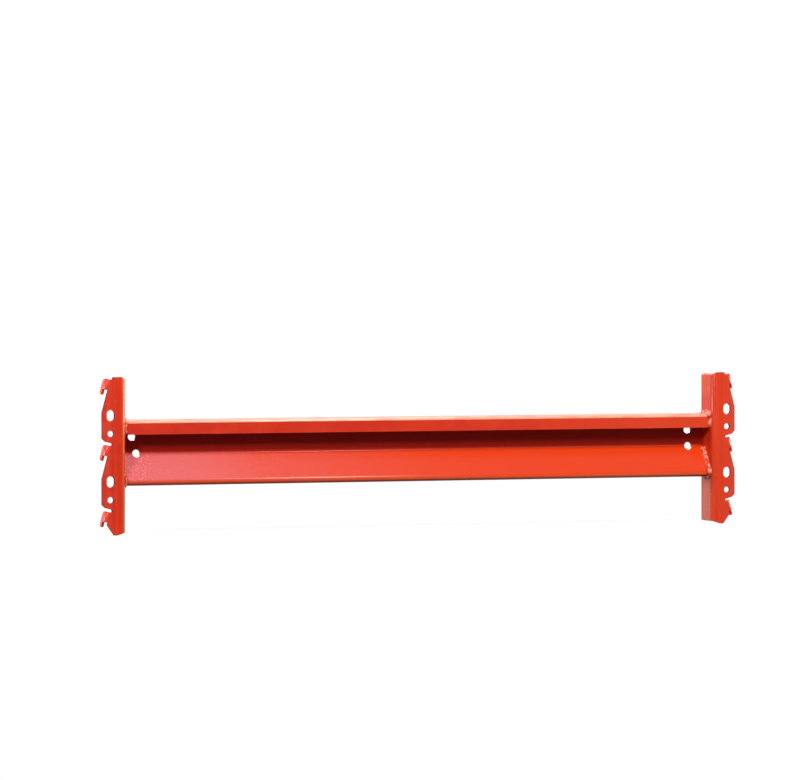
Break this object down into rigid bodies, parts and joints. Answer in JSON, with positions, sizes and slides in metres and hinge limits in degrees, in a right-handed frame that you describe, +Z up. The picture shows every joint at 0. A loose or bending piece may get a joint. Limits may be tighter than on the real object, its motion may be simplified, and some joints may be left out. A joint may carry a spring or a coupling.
{
  "type": "pallet rack beam",
  "caption": "Roll-formed open-section pallet rack beam, welded at each end to a bent connector plate whose claws hook into a rack upright.",
  "frame": {"origin": "middle of the load face on top of the section", "axes": "+X along the beam, to the right as seen from the aisle; -Y towards the aisle; +Z up"},
  "size_m": [1.051, 0.042, 0.239],
  "materials": {
    "beam_paint": "semi-gloss powder coat, red-orange",
    "connector_paint": "semi-gloss powder coat, red-orange",
    "weld_paint": "powder coat over a rippled weld, red-orange"
  },
  "bodies": {
    "root": {"beam_profile": "beam_paint", "left_connector": "connector_paint", "right_connector": "connector_paint", "left_upper_weld": "weld_paint", "right_upper_weld": "weld_paint", "left_lower_weld": "weld_paint", "right_lower_weld": "weld_paint"}
  },
  "joints": []
}
